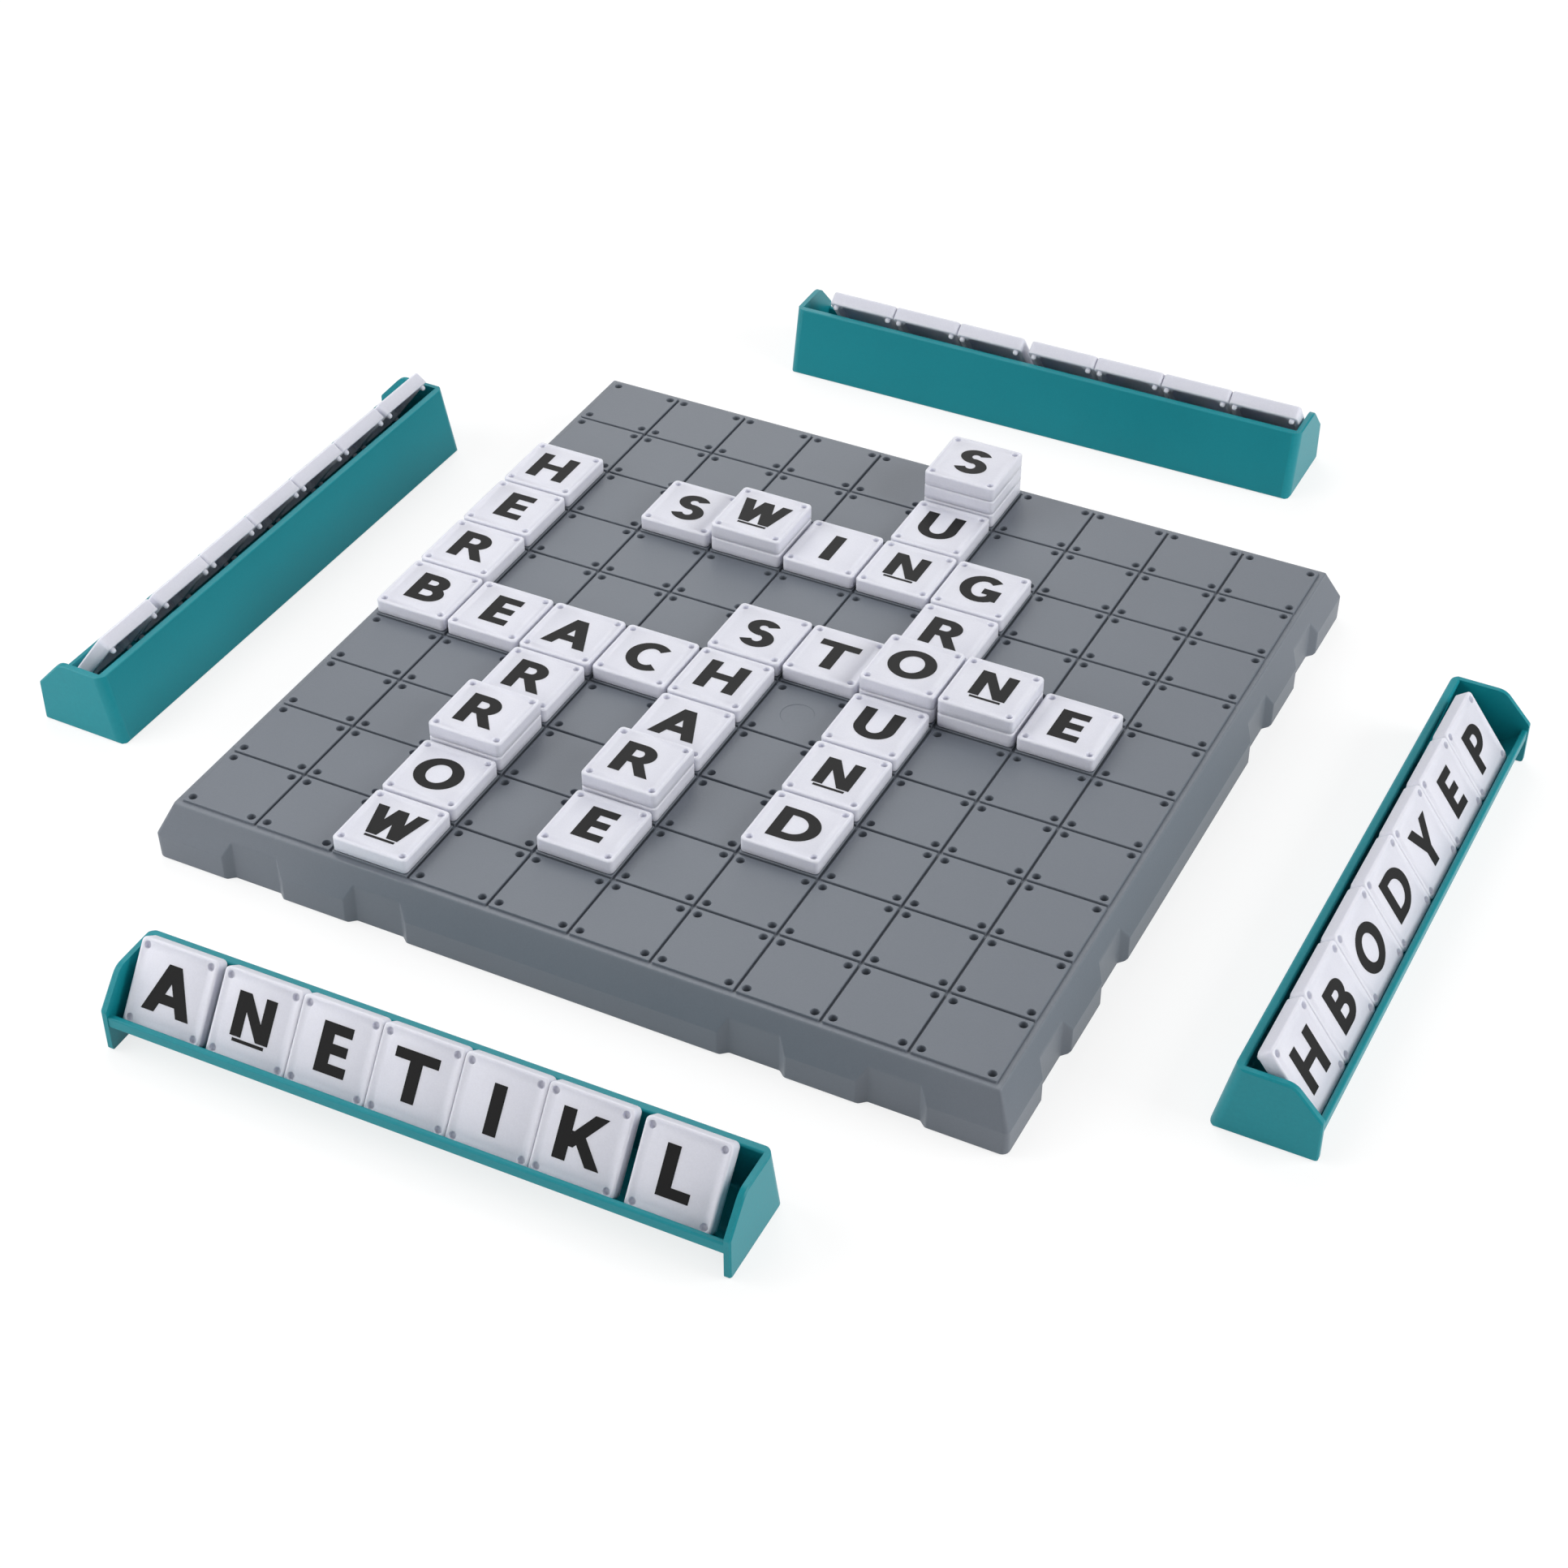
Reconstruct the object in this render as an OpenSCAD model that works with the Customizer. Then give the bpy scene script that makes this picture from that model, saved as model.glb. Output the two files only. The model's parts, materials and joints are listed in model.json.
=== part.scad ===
// Stacking word tile game: a square peg board, four tile racks standing around it, and the letter
// tiles of a game in play, stacked on the board and seven on each rack.
// Sizes in millimetres. The table is at z = 0 and the set's footprint is centred on the origin.

/* [Board] */
// Cells along one side
cells = 10; // [10:2:14]
// Cell pitch, groove to groove
pitch = 22; // [21:0.5:25]
// Height of the cell tops above the table
board_h = 16.5; // [15.5:0.5:20]
// Width of the grooves between the cells
groove_w = 1.1; // [0.8:0.1:1.4]
// Depth of the grooves
groove_depth = 1.5; // [1:0.1:1.8]
// How far the rim reaches out past the cells
rim_w = 5.2; // [5:0.1:6.5]
// Height of the crease where the bevel meets the skirt
crease_h = 7.2; // [6:0.2:8]
// Wall thickness of the board moulding
board_wall = 2.2; // [1.8:0.1:2.4]
// Width of a finger recess at its inner wall
recess_w = 13.2; // [10:0.2:16]

/* [Tiles] */
// Gap between tiles on neighbouring cells
tile_gap = 1.2; // [0.8:0.1:1.6]
// Thickness of a tile without its pegs
tile_h = 4; // [3.6:0.1:5]
// Rounding of a tile's upright corners
tile_corner_r = 1.3; // [0.8:0.1:1.6]
// Rounding of a tile's top edges
tile_edge_r = 0.5; // [0.3:0.1:0.9]
// Peg diameter
peg_d = 1.6; // [1.4:0.1:1.8]
// Peg length
peg_len = 1.3; // [1.1:0.1:1.5]
// Play around a peg in its hole
peg_play = 0.2; // [0.15:0.05:0.3]
// Distance of the peg centres from the edges of the cell
peg_inset = 2.3; // [2.2:0.1:2.7]
// Gap left under a seated tile
seat_gap = 0.29; // [0.2:0.01:0.4]

/* [Racks] */
// Lean of the tiles back from upright
lean = 36.5; // [34:0.5:39]
// Height of a rack
rack_h = 20; // [18.5:0.5:22]
// Depth of a rack at its feet
rack_depth = 26.2; // [25.6:0.1:28]
// Height of the inner foot of the tray, where the tiles stand
tray_h = 8.2; // [7.4:0.2:9]
// Room left over beside the seven tiles
row_room = 13; // [12:0.5:18]
// Wall thickness of tray and lip
rack_wall = 1.6; // [1.3:0.1:2]
// Thickness of the end panels
panel_t = 1.7; // [1.5:0.1:2.4]

/* [Layout] */
// Gap from the board to the front rack
front_gap = 34.4; // [30:0.1:50]
// Gap from the board to the right rack
right_gap = 36.6; // [30:0.1:50]
// Gap from the board to the back rack
back_gap = 47.6; // [30:0.1:50]
// Gap from the board to the left rack
left_gap = 32.5; // [30:0.1:50]
// Gap between tiles pushed together on a rack
snug = 0.3; // [0.2:0.05:0.4]
// Gap between tiles left apart on a rack
loose = 2.1; // [1.5:0.1:2.5]

/* [Hidden] */
$fn = 32;
// Overlap of joined pieces and of cuts, and the thickness of the layers that a hull spans
bite = 0.5;
skin = 0.01;

// The game in play: words as first column, first row, direction, letters
words = [
    [1, 5, "across", 5],
    [1, 8, "down", 4],
    [3, 5, "down", 5],
    [5, 6, "down", 5],
    [5, 6, "across", 5],
    [7, 8, "down", 6],
    [3, 8, "across", 5],
    [6, 10, "down", 3]
];
// Cells with a stack: column, row, tiles
stacks = [[5, 3, 2], [3, 3, 2], [4, 8, 2], [6, 10, 3], [7, 6, 2], [8, 6, 2]];
column_names = "abcdefghij";

// The racks: name, side of the board, gap to the board, shift along the side, turn on the spot,
// room before each tile as a share of the loose gap, and whether every tile is a node of its own
racks = [
    ["front", 0, front_gap, -0.2 * pitch, 0.78, [1, 1, 0, 0, 0, 0, 1.4], true],
    ["right", 90, right_gap, -0.2 * pitch, -0.36, [0.8, 0, 0, 0, 0, 0, 0], true],
    ["back", 180, back_gap, -0.12 * pitch, 0.29, [0.4, 0, 0, 0, 1.2, 0, 0], false],
    ["left", 270, left_gap, 0.09 * pitch, -1.09, [0.5, 0.6, 0, 0, 0, 0, 0.9], false]
];
row_tiles = 7;

// Board: a bevel and a skirt run round the cells, and the deck is hollow underneath
grid_half = cells * pitch / 2;
board_half = grid_half + rim_w;
ledge_out = 1.1;
ledge_drop = 0.7;
ledge_z = board_h - ledge_drop;
groove_z = board_h - groove_depth;
foot_bevel = 0.4;
ledge_r = 0.4;
crease_r = 1.5;
skirt_r = 2;
cell_edge_r = 0.35;
deck_t = 2.6;
deck_z = groove_z - deck_t;
hole_d = peg_d + 2 * peg_play;
hole_depth = 2.6;
peg_at = pitch / 2 - peg_inset;
rib_t = 1.6;
rib_h = 3;
mark_d = 8.9;
mark_depth = 0.15;
recess_depth = 1.9;
recess_flare = 1.15;
recess_end = 23.5;
recess_step = 35.5;
recess_at = [grid_half - recess_end, grid_half - recess_end - recess_step];
board_at = [(left_gap - right_gap) / 2, (front_gap - back_gap) / 2];

// Tile: a hollow cap with a post, a peg below and a socket above at each corner
tile_size = pitch - tile_gap;
tile_wall = 1.3;
tile_top = 1.6;
post_r = 1.9;
tip_gap = 0.19;
socket_depth = peg_len - seat_gap + tip_gap;
stack_pitch = tile_h + seat_gap;

// Rack: u runs from the foot of the back plate out to the player
plate_w = 2.4;
plate_drop = 0.2;
toe_gap = 0.4;
rack_seat = 0.25;
lip_inset = 0.2;
lip_h = 3.4;
floor_z = 0.5;
front_slope = 7.6;
panel_over = 0.2;
front_h = tray_h + lip_h + panel_over;
shoulder_r = 4.5;
back_r = 2.8;
panel_edge = 0.4;
panel_corner_r = 0.8;
front_corner_r = 1.2;
rack_edge_r = 0.5;
fold_r = 2;
rack_len = row_tiles * tile_size + row_room + 2 * panel_t;
tile_up = [-sin(lean), cos(lean)];
tile_back = [-cos(lean), -sin(lean)];
tray_foot = [rack_depth - lip_inset - rack_wall, tray_h];
tile_reach = toe_gap + tile_h + peg_len + rack_seat;
plate_in = tray_foot[0]
    - (tile_reach + sin(lean) * (rack_h - plate_drop - tray_h)) / cos(lean);
plate_out = plate_in - plate_w;
back_lean = atan(plate_out / rack_h);
tile_in_rack = tray_foot + (toe_gap + tile_h) * tile_back + (rack_seat + tile_size / 2) * tile_up;

// Outlines with their corners rounded or drawn in, from the half angle at each corner
function toward(p, q) = (q - p) / norm(q - p);
function before(pts, i) = toward(pts[i], pts[(i + len(pts) - 1) % len(pts)]);
function after(pts, i) = toward(pts[i], pts[(i + 1) % len(pts)]);
function half_angle(pts, i) = acos(before(pts, i) * after(pts, i)) / 2;
function inward(pts, i) = toward([0, 0], before(pts, i) + after(pts, i));
function turned(v, a) = [v[0] * cos(a) - v[1] * sin(a), v[0] * sin(a) + v[1] * cos(a)];
function rounded(pts, radii, steps = 6) = [
    for (i = [0 : len(pts) - 1])
        let (
            half = half_angle(pts, i),
            middle = pts[i] + inward(pts, i) * radii[i] / sin(half),
            arm = pts[i] + before(pts, i) * radii[i] / tan(half) - middle,
            sweep = sign(cross(after(pts, i), before(pts, i))) * (180 - 2 * half)
        )
        each radii[i] == 0 ? [pts[i]] : [for (k = [0 : steps]) middle + turned(arm, sweep * k / steps)]
];
function drawn_in(pts, by) = [
    for (i = [0 : len(pts) - 1]) pts[i] + inward(pts, i) * by / sin(half_angle(pts, i))
];
function flipped(pts) = [for (p = pts) [-p[0], p[1]]];
function total(list, last) = last < 0 ? 0 : list[last] + total(list, last - 1);

// Where the tiles are
function on_word(w, c, r) =
    let (
        across = w[2] == "across",
        step = across ? c - w[0] : w[1] - r,
        in_line = across ? r == w[1] : c == w[0]
    )
    in_line && step >= 0 && step < w[3];
function covered(c, r) = len([for (w = words) if (on_word(w, c, r)) w]) > 0;
function stack_of(c, r) = max([1, for (s = stacks) if (s[0] == c && s[1] == r) s[2]]);
function levels(c, r) = covered(c, r) ? stack_of(c, r) : 0;
function tile_name(c, r, level) =
    str("tile_", column_names[c - 1], r, level > 1 ? str("_level_", level) : "");
function cell_at(i) = (i - 0.5) * pitch - grid_half;
function rooms(rack) = [for (share = rack[5]) max(snug, share * loose)];
function row_at(rack, i) =
    total(rooms(rack), i) + (i + 0.5) * tile_size + panel_t - rack_len / 2;

board_tiles = [
    for (c = [1 : len(column_names)], r = [1 : len(column_names)])
        for (level = [1 : 1 : levels(c, r)]) [c, r, level]
];
rack_tiles = [for (rack = racks, i = [0 : row_tiles - 1]) if (rack[6]) [rack, i]];
tile_groups = [for (rack = racks) if (!rack[6]) rack];

// One letter tile, its underside at z = 0
module tile() {
    s = tile_size / 2;
    plan = [[-s, -s], [s, -s], [s, s], [-s, s]];
    side = [[-s, 0], [s, 0], [s, tile_h], [-s, tile_h]];
    profile = rounded(side, [0, 0, tile_edge_r, tile_edge_r], 3);
    color("gainsboro") {
        difference() {
            intersection() {
                linear_extrude(tile_h) polygon(rounded(plan, [for (p = plan) tile_corner_r]));
                for_both_ways() along_x(2 * tile_size) polygon(profile);
            }
            translate([0, 0, -bite]) linear_extrude(tile_h - tile_top + bite) tile_hollow();
            at_pegs() translate([0, 0, tile_h - socket_depth])
                cylinder(d = hole_d, h = socket_depth + bite);
        }
        at_pegs() peg();
    }
}

module tile_hollow() {
    difference() {
        square(tile_size - 2 * tile_wall, center = true);
        at_pegs() circle(post_r);
    }
}

module peg() {
    straight = peg_len - peg_d / 2;
    translate([0, 0, -straight]) cylinder(d = peg_d, h = straight + bite);
    translate([0, 0, -straight]) sphere(d = peg_d);
}

module at_pegs() {
    for (x = [-peg_at, peg_at], y = [-peg_at, peg_at]) translate([x, y, 0]) children();
}

// Common volume of one extrusion laid along x and along y
module for_both_ways() {
    intersection() {
        children();
        rotate([0, 0, 90]) children();
    }
}

// An extrusion laid along x, centred: the outline's own x points along +y and its y upward
module along_x(length) {
    rotate([90, 0, 90]) translate([0, 0, -length / 2]) linear_extrude(length) children();
}

// The board, centred on its own middle
module board() {
    color("slategray") {
        difference() {
            union() {
                rim();
                translate([-grid_half, -grid_half, crease_h])
                    cube([2 * grid_half, 2 * grid_half, board_h - crease_h]);
            }
            cavity();
            grooves();
            for (c = [1 : cells], r = [1 : cells]) translate([cell_at(c), cell_at(r), board_h - hole_depth])
                at_pegs() cylinder(d = hole_d, h = hole_depth + bite);
            for (x = [-1, 1], y = [-1, 1]) translate([x * pitch / 2, y * pitch / 2, board_h - mark_depth])
                cylinder(d = mark_d, h = mark_depth + bite);
            at_recesses() recess();
        }
        ribs();
    }
}

// Outside of the rim: foot, skirt, crease and ledge
module rim() {
    hull() {
        rim_level(board_half - foot_bevel, skirt_r - foot_bevel, 0);
        rim_level(board_half, skirt_r, foot_bevel);
        rim_level(board_half, crease_r, crease_h);
        rim_level(grid_half + ledge_out, ledge_r, ledge_z - skin);
    }
}

module rim_level(half, r, z) {
    for (x = [-1, 1], y = [-1, 1]) translate([x * (half - r), y * (half - r), z])
        cylinder(r = r, h = skin);
}

// Hollow under the deck, with the wall kept full behind each recess
module cavity() {
    deck_out = ledge_out + (rim_w - ledge_out) * (ledge_z - deck_z) / (ledge_z - crease_h);
    difference() {
        hull() {
            cavity_level(board_half - board_wall, -bite);
            cavity_level(board_half - board_wall, crease_h);
            cavity_level(grid_half + deck_out - board_wall, deck_z);
        }
        at_recesses() recess_pad();
    }
}

module cavity_level(half, z) {
    translate([-half, -half, z - skin]) cube([2 * half, 2 * half, skin]);
}

// Grooves between the cells, and the step down to the ledge round them, with the cell edges rounded
module grooves() {
    for (i = [0 : cells], a = [0, 90]) rotate([0, 0, a]) translate([0, i * pitch - grid_half, 0])
        if (i == 0 || i == cells) along_x(2 * board_half) polygon(groove_section(ledge_z));
        else along_x(2 * grid_half - groove_w + bite) polygon(groove_section(groove_z));
}

function groove_section(low) =
    let (
        turn = [for (k = [0 : 3]) let (a = 90 * k / 3) [
            groove_w / 2 + cell_edge_r * (1 - cos(a)),
            board_h - cell_edge_r * (1 - sin(a))
        ]],
        right = concat([[groove_w / 2, low]], turn, [[groove_w / 2 + cell_edge_r, board_h + bite]])
    )
    concat(right, [for (i = [len(right) - 1 : -1 : 0]) [-right[i][0], right[i][1]]]);

module at_recesses() {
    for (a = [0 : 90 : 270], x = recess_at, side = [-1, 1]) rotate([0, 0, a])
        translate([side * x, -board_half, 0]) children();
}

// Finger recess: a flat inner wall, and side walls that flare out to the skirt
module recess() {
    reach = 3 * recess_depth;
    wide = recess_w / 2 + recess_flare * reach;
    translate([0, recess_depth, -1]) linear_extrude(board_h)
        polygon([[-recess_w / 2, 0], [recess_w / 2, 0], [wide, -reach], [-wide, -reach]]);
}

module recess_pad() {
    w = recess_w + 2 * recess_flare * recess_depth + 2 * board_wall;
    translate([-w / 2, -bite, -1]) cube([w, recess_depth + 2 * board_wall, board_h]);
}

// Stiffening ribs under the deck, below every second grid line
module ribs() {
    length = 2 * grid_half - 2 * bite;
    for (i = [2 : 2 : cells - 2], a = [0, 90]) rotate([0, 0, a])
        translate([-length / 2, i * pitch - grid_half - rib_t / 2, deck_z - rib_h])
            cube([length, rib_t, rib_h + bite]);
}

// One rack: the foot of its back plate on the x axis, its player on the side of -y
module rack() {
    inner = rack_len - panel_t;
    color("teal") difference() {
        union() {
            along_x(inner) polygon(flipped(tray_section()));
            for (side = [0, 1]) mirror([side, 0, 0]) translate([rack_len / 2 - panel_t, 0, 0]) end_panel();
        }
        for (side = [0, 1]) mirror([side, 0, 0]) translate([rack_len / 2, 0, 0]) back_corner();
    }
}

// Back plate, trough floor, sloped tray and lip in one outline of u and z
function tray_section() =
    let (
        lip_out = rack_depth - lip_inset,
        under = rack_wall / cos(lean),
        floor_top = floor_z + rack_wall,
        tray_floor = function(u) tray_h + (u - tray_foot[0]) * tan(lean),
        tray_u = function(z) tray_foot[0] + (z - tray_h) / tan(lean),
        plate_u = function(z) plate_w + plate_out * z / rack_h,
        corners = [
            [[0, 0], rack_edge_r],
            [[plate_w, 0], 0],
            [[plate_u(floor_z), floor_z], 0],
            [[tray_u(floor_z + under), floor_z], fold_r],
            [[lip_out, tray_floor(lip_out) - under], rack_edge_r],
            [[lip_out, tray_h + lip_h], rack_edge_r],
            [[tray_foot[0], tray_h + lip_h], rack_edge_r],
            [tray_foot, rack_edge_r],
            [[tray_u(floor_top), floor_top], fold_r],
            [[plate_u(floor_top), floor_top], rack_edge_r],
            [[plate_in, rack_h], rack_edge_r],
            [[plate_out, rack_h], rack_edge_r]
        ]
    )
    rounded([for (c = corners) c[0]], [for (c = corners) c[1]]);

module end_panel() {
    outline = [
        [0, 0],
        [plate_out, rack_h],
        [rack_depth - front_slope, rack_h],
        [rack_depth, front_h],
        [rack_depth, 0]
    ];
    radii = [panel_corner_r, panel_corner_r, shoulder_r, front_corner_r, panel_corner_r];
    edge = [for (r = radii) r - panel_edge];
    rotate([90, 0, 90]) hull() {
        linear_extrude(panel_t - panel_edge) polygon(flipped(rounded(outline, radii)));
        linear_extrude(panel_t)
            polygon(flipped(rounded(drawn_in(outline, panel_edge), edge)));
    }
}

// Cut that rounds the upright corner between back plate and end panel
module back_corner() {
    rotate([back_lean, 0, 0]) translate([-back_r, -back_r, -rack_h]) difference() {
        cube([2 * back_r, 2 * back_r, 3 * rack_h]);
        translate([0, 0, -bite]) cylinder(r = back_r, h = 3 * rack_h + 2 * bite);
    }
}

// Places in the set
module on_board() {
    translate([board_at[0], board_at[1], 0]) children();
}

module at_cell(c, r, level) {
    on_board() translate([cell_at(c), cell_at(r), board_h + seat_gap + (level - 1) * stack_pitch])
        children();
}

module at_rack(rack) {
    on_board() rotate([0, 0, rack[1]]) translate([rack[3], -board_half - rack[2], 0])
        rotate([0, 0, rack[4]]) children();
}

module in_row(rack, i) {
    at_rack(rack) translate([row_at(rack, i), -tile_in_rack[0], tile_in_rack[1]])
        rotate([90 - lean, 0, 0]) children();
}

on_board() board();
for (r = racks) at_rack(r) rack();
for (t = board_tiles) at_cell(t[0], t[1], t[2]) tile();
for (t = rack_tiles) in_row(t[0], t[1]) tile();
for (r = tile_groups) for (i = [0 : row_tiles - 1]) in_row(r, i) tile();
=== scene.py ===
import json
import math
import random

import bmesh
import bpy
import numpy as np
from mathutils import Matrix, Vector

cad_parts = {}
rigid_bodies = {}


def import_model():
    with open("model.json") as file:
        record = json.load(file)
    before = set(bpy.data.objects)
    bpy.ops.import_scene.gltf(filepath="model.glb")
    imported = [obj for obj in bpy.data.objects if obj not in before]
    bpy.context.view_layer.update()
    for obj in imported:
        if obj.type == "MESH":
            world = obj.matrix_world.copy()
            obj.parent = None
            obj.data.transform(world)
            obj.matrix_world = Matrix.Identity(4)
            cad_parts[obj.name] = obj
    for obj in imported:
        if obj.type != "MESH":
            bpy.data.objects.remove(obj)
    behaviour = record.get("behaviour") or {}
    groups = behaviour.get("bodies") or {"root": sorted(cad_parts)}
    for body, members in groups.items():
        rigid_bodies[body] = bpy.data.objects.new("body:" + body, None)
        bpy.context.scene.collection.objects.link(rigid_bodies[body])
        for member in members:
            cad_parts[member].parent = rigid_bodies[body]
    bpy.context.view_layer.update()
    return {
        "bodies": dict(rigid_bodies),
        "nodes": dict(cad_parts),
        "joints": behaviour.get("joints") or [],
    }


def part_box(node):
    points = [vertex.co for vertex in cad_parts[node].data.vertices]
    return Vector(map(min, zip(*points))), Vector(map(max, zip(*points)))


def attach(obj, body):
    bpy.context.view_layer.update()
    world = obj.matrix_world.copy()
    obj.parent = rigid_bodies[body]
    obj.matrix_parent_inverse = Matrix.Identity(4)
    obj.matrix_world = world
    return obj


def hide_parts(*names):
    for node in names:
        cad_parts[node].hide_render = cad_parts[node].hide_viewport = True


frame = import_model()

# Board rim and deck
# One grey moulding in a fine satin plastic: a skirt, a bevel and a ledge run round the cells, with
# finger recesses along every side. It is hollow below and stiffened by ribs under the deck. Here and
# in the other sections lengths are in millimetres. The frame's and the lamps' places are in metres.
mm = 0.001
pitch = 22
cells = 10
grid_half = cells * pitch / 2
recess_middles = (-86.5, -51, 51, 86.5)
recess_half = 6.6
recess_flare = 1.15
recess_wall = 3.3
recess_blend = 0.25
backing_half = 10.985
deck_inset = 0.6
deck_under = 13.4
ledge_out = 1.1
ledge_top = 15.8
rim_w = 5.2
crease_h = 7.2
foot_edge = 0.4
wall_in = 3
hollow_top = (0.52, 12.4)
hollow_corner_r = 0.6
rib_half = 0.8
rib_end = 109.5
rib_low = 9.4
rib_high = 12.9
rim_corners = [
    (-deck_inset, deck_under), (-deck_inset, ledge_top), (ledge_out, ledge_top),
    (rim_w, crease_h), (rim_w, foot_edge), (rim_w - foot_edge, 0), (wall_in, 0),
]
rim_radii = [0, 0, 0.3, 0.4, 0.4, 0.1, 0]
rim_step = 0.36
rim_flat_area = 60
rim_sharp_angle = 50
corner_levels = [0, foot_edge, crease_h, ledge_top]
corner_radii = [1.6, 2, 1.5, 0.4]
hollow_corners = [(wall_in, 0), (wall_in, crease_h), hollow_top]
board_low, board_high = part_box("board")
board_middle = (board_low + board_high) / 2


def rounded(corners, radii, steps):
    """A closed outline with each corner turned through an arc of its own radius."""
    outline = []
    for i, corner in enumerate(corners):
        here = Vector(corner)
        back = (Vector(corners[i - 1]) - here).normalized()
        ahead = (Vector(corners[(i + 1) % len(corners)]) - here).normalized()
        if radii[i] == 0:
            outline.append(here)
            continue
        half = back.angle(ahead) / 2
        middle = here + (back + ahead).normalized() * radii[i] / math.sin(half)
        arm = here + back * radii[i] / math.tan(half) - middle
        turn = math.copysign(math.pi - 2 * half, back.y * ahead.x - back.x * ahead.y)
        for k in range(steps + 1):
            a = turn * k / steps
            outline.append(middle + Vector((
                arm.x * math.cos(a) - arm.y * math.sin(a),
                arm.x * math.sin(a) + arm.y * math.cos(a),
            )))
    return outline


def filled(outline, longest):
    """The same open outline with points added wherever two are further apart."""
    points = [outline[0]]
    for a, b in zip(outline, outline[1:]):
        steps = max(1, math.ceil((b - a).length / longest))
        points += [a.lerp(b, k / steps) for k in range(1, steps + 1)]
    return points


def soft_min(a, b, blend):
    """The smaller value, with the change from one to the other rounded off."""
    return min(a, b) - max(blend - abs(a - b), 0) ** 2 / (4 * blend)


def recess_reach(s):
    """How far out the wall of the nearest finger recess stands at a place along the side."""
    from_middle = min(abs(s - m) for m in recess_middles)
    inside = (recess_half - from_middle) / recess_flare
    return recess_wall - soft_min(0, inside, recess_blend)


def hollow_reach(s, reach):
    """How far out the inner wall stands, drawn in behind each recess."""
    behind = min(abs(s - m) for m in recess_middles) < backing_half
    return min(reach, -deck_inset) if behind else reach


turn_start = 6.1
turn_step = 0.17
backing_edge = 0.01
recess_steps = [0, 3.5, 5.6, 9.9, 10.5, backing_half - backing_edge, backing_half + backing_edge]
recess_steps += [turn_start + turn_step * k for k in range(21)]
plain_places = {-105, -30, -15, 0, 15, 30, 105}
side_places = sorted(
    {m + d * step for m in recess_middles for d in (-1, 1) for step in recess_steps}
    | plain_places
)


def board_ring(mesh, reach_at, corner_reach, corner_r, z):
    """A closed ring of vertices round the board at one height."""
    ring = []
    middle = grid_half + corner_reach - corner_r
    for side in range(4):
        a = side * math.pi / 2
        row = [(s, -grid_half - reach_at(s)) for s in side_places]
        for k in range(9):
            b = -math.pi / 2 + k * math.pi / 16
            row.append((middle + corner_r * math.cos(b), -middle + corner_r * math.sin(b)))
        for x, y in row:
            ring.append(mesh.verts.new((
                x * math.cos(a) - y * math.sin(a), x * math.sin(a) + y * math.cos(a), z
            )))
    return ring


def join_rings(mesh, below, above):
    """A band of faces between two rings with as many vertices."""
    return [
        mesh.faces.new((below[i - 1], below[i], above[i], above[i - 1]))
        for i in range(len(below))
    ]


def box_between(mesh, low, high):
    """A plain closed box, for a rib."""
    made = bmesh.ops.create_cube(mesh, size=1)["verts"]
    size = Vector(high) - Vector(low)
    for v in made:
        v.co = Vector(low) + Vector(((v.co[i] + 0.5) * size[i] for i in range(3)))


def finish_mesh(mesh, name, place, flat_over=None):
    """Turns a mesh in millimetres into an object in place, level and large faces shaded flat."""
    mesh.normal_update()
    for face in mesh.faces:
        large = flat_over is not None and face.calc_area() > flat_over
        face.smooth = not large and abs(face.normal.z) < 0.9999
    data = bpy.data.meshes.new(name)
    mesh.to_mesh(data)
    mesh.free()
    data.transform(place @ Matrix.Scale(mm, 4))
    piece = bpy.data.objects.new(name, data)
    bpy.context.scene.collection.objects.link(piece)
    return piece


rim = bmesh.new()
painted_highlight = rim.verts.layers.float.new("painted_highlight")
rim_line = filled(rounded(rim_corners, rim_radii, 4), rim_step)
# How pale the painted highlight along the ledge's outer edge is; it stands in for light on the
# rounding.
ledge_highlight = 0.5
rings = []
for reach, z in rim_line:
    corner_r = float(np.interp(z, corner_levels, corner_radii))
    ring = board_ring(
        rim, lambda s: soft_min(reach, recess_reach(s), recess_blend), reach, corner_r, z
    )
    for v in ring:
        v[painted_highlight] = max(0, ledge_highlight - abs(z - ledge_top + 0.1)) if reach > 0 else 0
    rings.append(ring)
for reach, z in hollow_corners:
    rings.append(board_ring(rim, lambda s: hollow_reach(s, reach), reach, hollow_corner_r, z))
for below, above in zip(rings, rings[1:]):
    join_rings(rim, below, above)
rim.faces.new(rings[0])
rim.faces.new(rings[-1])
for i in range(2, cells, 2):
    at = i * pitch - grid_half
    box_between(rim, (at - rib_half, -rib_end, rib_low), (at + rib_half, rib_end, rib_high))
    box_between(rim, (-rib_end, at - rib_half, rib_low), (rib_end, at + rib_half, rib_high))
bmesh.ops.recalc_face_normals(rim, faces=rim.faces)
on_board = Matrix.Translation((board_middle.x, board_middle.y, 0))
board_rim = finish_mesh(rim, "board_rim", on_board, rim_flat_area)
board_rim.data.set_sharp_from_angle(angle=math.radians(rim_sharp_angle))


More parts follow.
